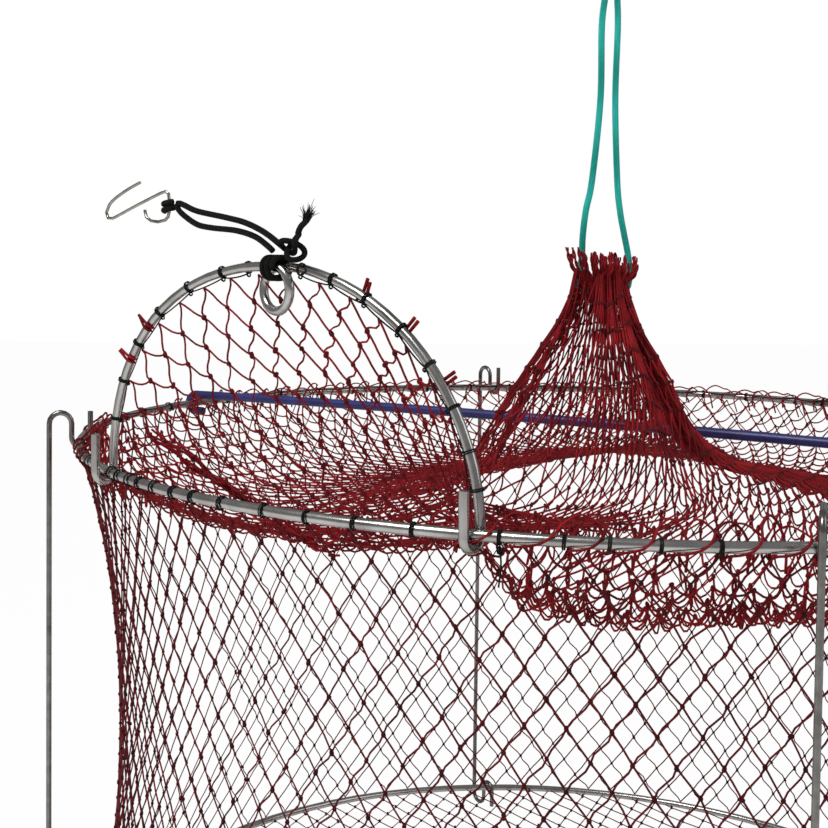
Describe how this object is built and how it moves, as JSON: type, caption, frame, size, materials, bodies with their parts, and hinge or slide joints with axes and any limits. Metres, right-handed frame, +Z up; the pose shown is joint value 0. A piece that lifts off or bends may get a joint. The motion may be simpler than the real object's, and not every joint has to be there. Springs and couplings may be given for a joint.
{
  "type": "fish trap",
  "caption": "Collapsible round fish trap: rod rings held apart by wire struts, netted all over, with a drawn-up top and an arched hoop door.",
  "frame": {"origin": "on the floor, under the common centre of the two rings", "axes": "+Z up from the floor ring to the top ring, +X to the right and +Y away from the viewer, as in the picture"},
  "size_m": [1.009, 1.0022, 1.0132],
  "materials": {
    "steel": "galvanised, dull grey with pale highlights",
    "red_twine": "knotted dark red polyethylene twine",
    "black_twine": "black lacing twine, slightly shiny",
    "black_elastic": "braided black elastic cord",
    "blue_hose": "two-tone navy hose, satin",
    "teal_cord": "braided green-teal cord"
  },
  "bodies": {
    "base": {"bottom_ring": "steel", "bottom_net": "red_twine", "side_net": "red_twine", "strut_left": "steel", "strut_right": "steel", "strut_back": "steel", "strut_front": "steel"},
    "top_frame": {"top_ring": "steel", "top_net": "red_twine", "mouth_lacing": "black_twine", "rim_lacing": "black_twine", "lift_cord": "teal_cord", "lift_knot": "teal_cord", "lift_loop": "teal_cord"},
    "door": {"door_hoop": "steel", "door_net": "red_twine", "elastic_cord": "black_elastic", "elastic_wrap": "black_elastic", "elastic_hitch": "black_elastic", "elastic_knot": "black_elastic", "elastic_tail": "black_elastic"},
    "hook": {"wire_hook": "steel"},
    "spreader": {"spreader_core": "steel", "spreader_sleeve": "blue_hose"}
  },
  "joints": [
    {"name": "top_frame_lift", "type": "slide", "parent": "base", "child": "top_frame", "axis": [0, 0, 1], "range_m": [0, 0.04]},
    {"name": "door_swing", "type": "hinge", "parent": "top_frame", "child": "door", "pos_m": [-0.31735, -0.30221, 0.5465], "axis": [0.6896, -0.7242, 0], "range_deg": [0, 110]},
    {"name": "hook_swing", "type": "hinge", "parent": "door", "child": "hook", "pos_m": [-0.38896, -0.21367, 0.7555], "axis": [0, 0, 1], "range_deg": [-40, 40]},
    {"name": "spreader_lift", "type": "hinge", "parent": "top_frame", "child": "spreader", "pos_m": [-0.36759, 0.29767, 0.5465], "axis": [-0.6018, -0.7986, 0], "range_deg": [0, 60]}
  ]
}
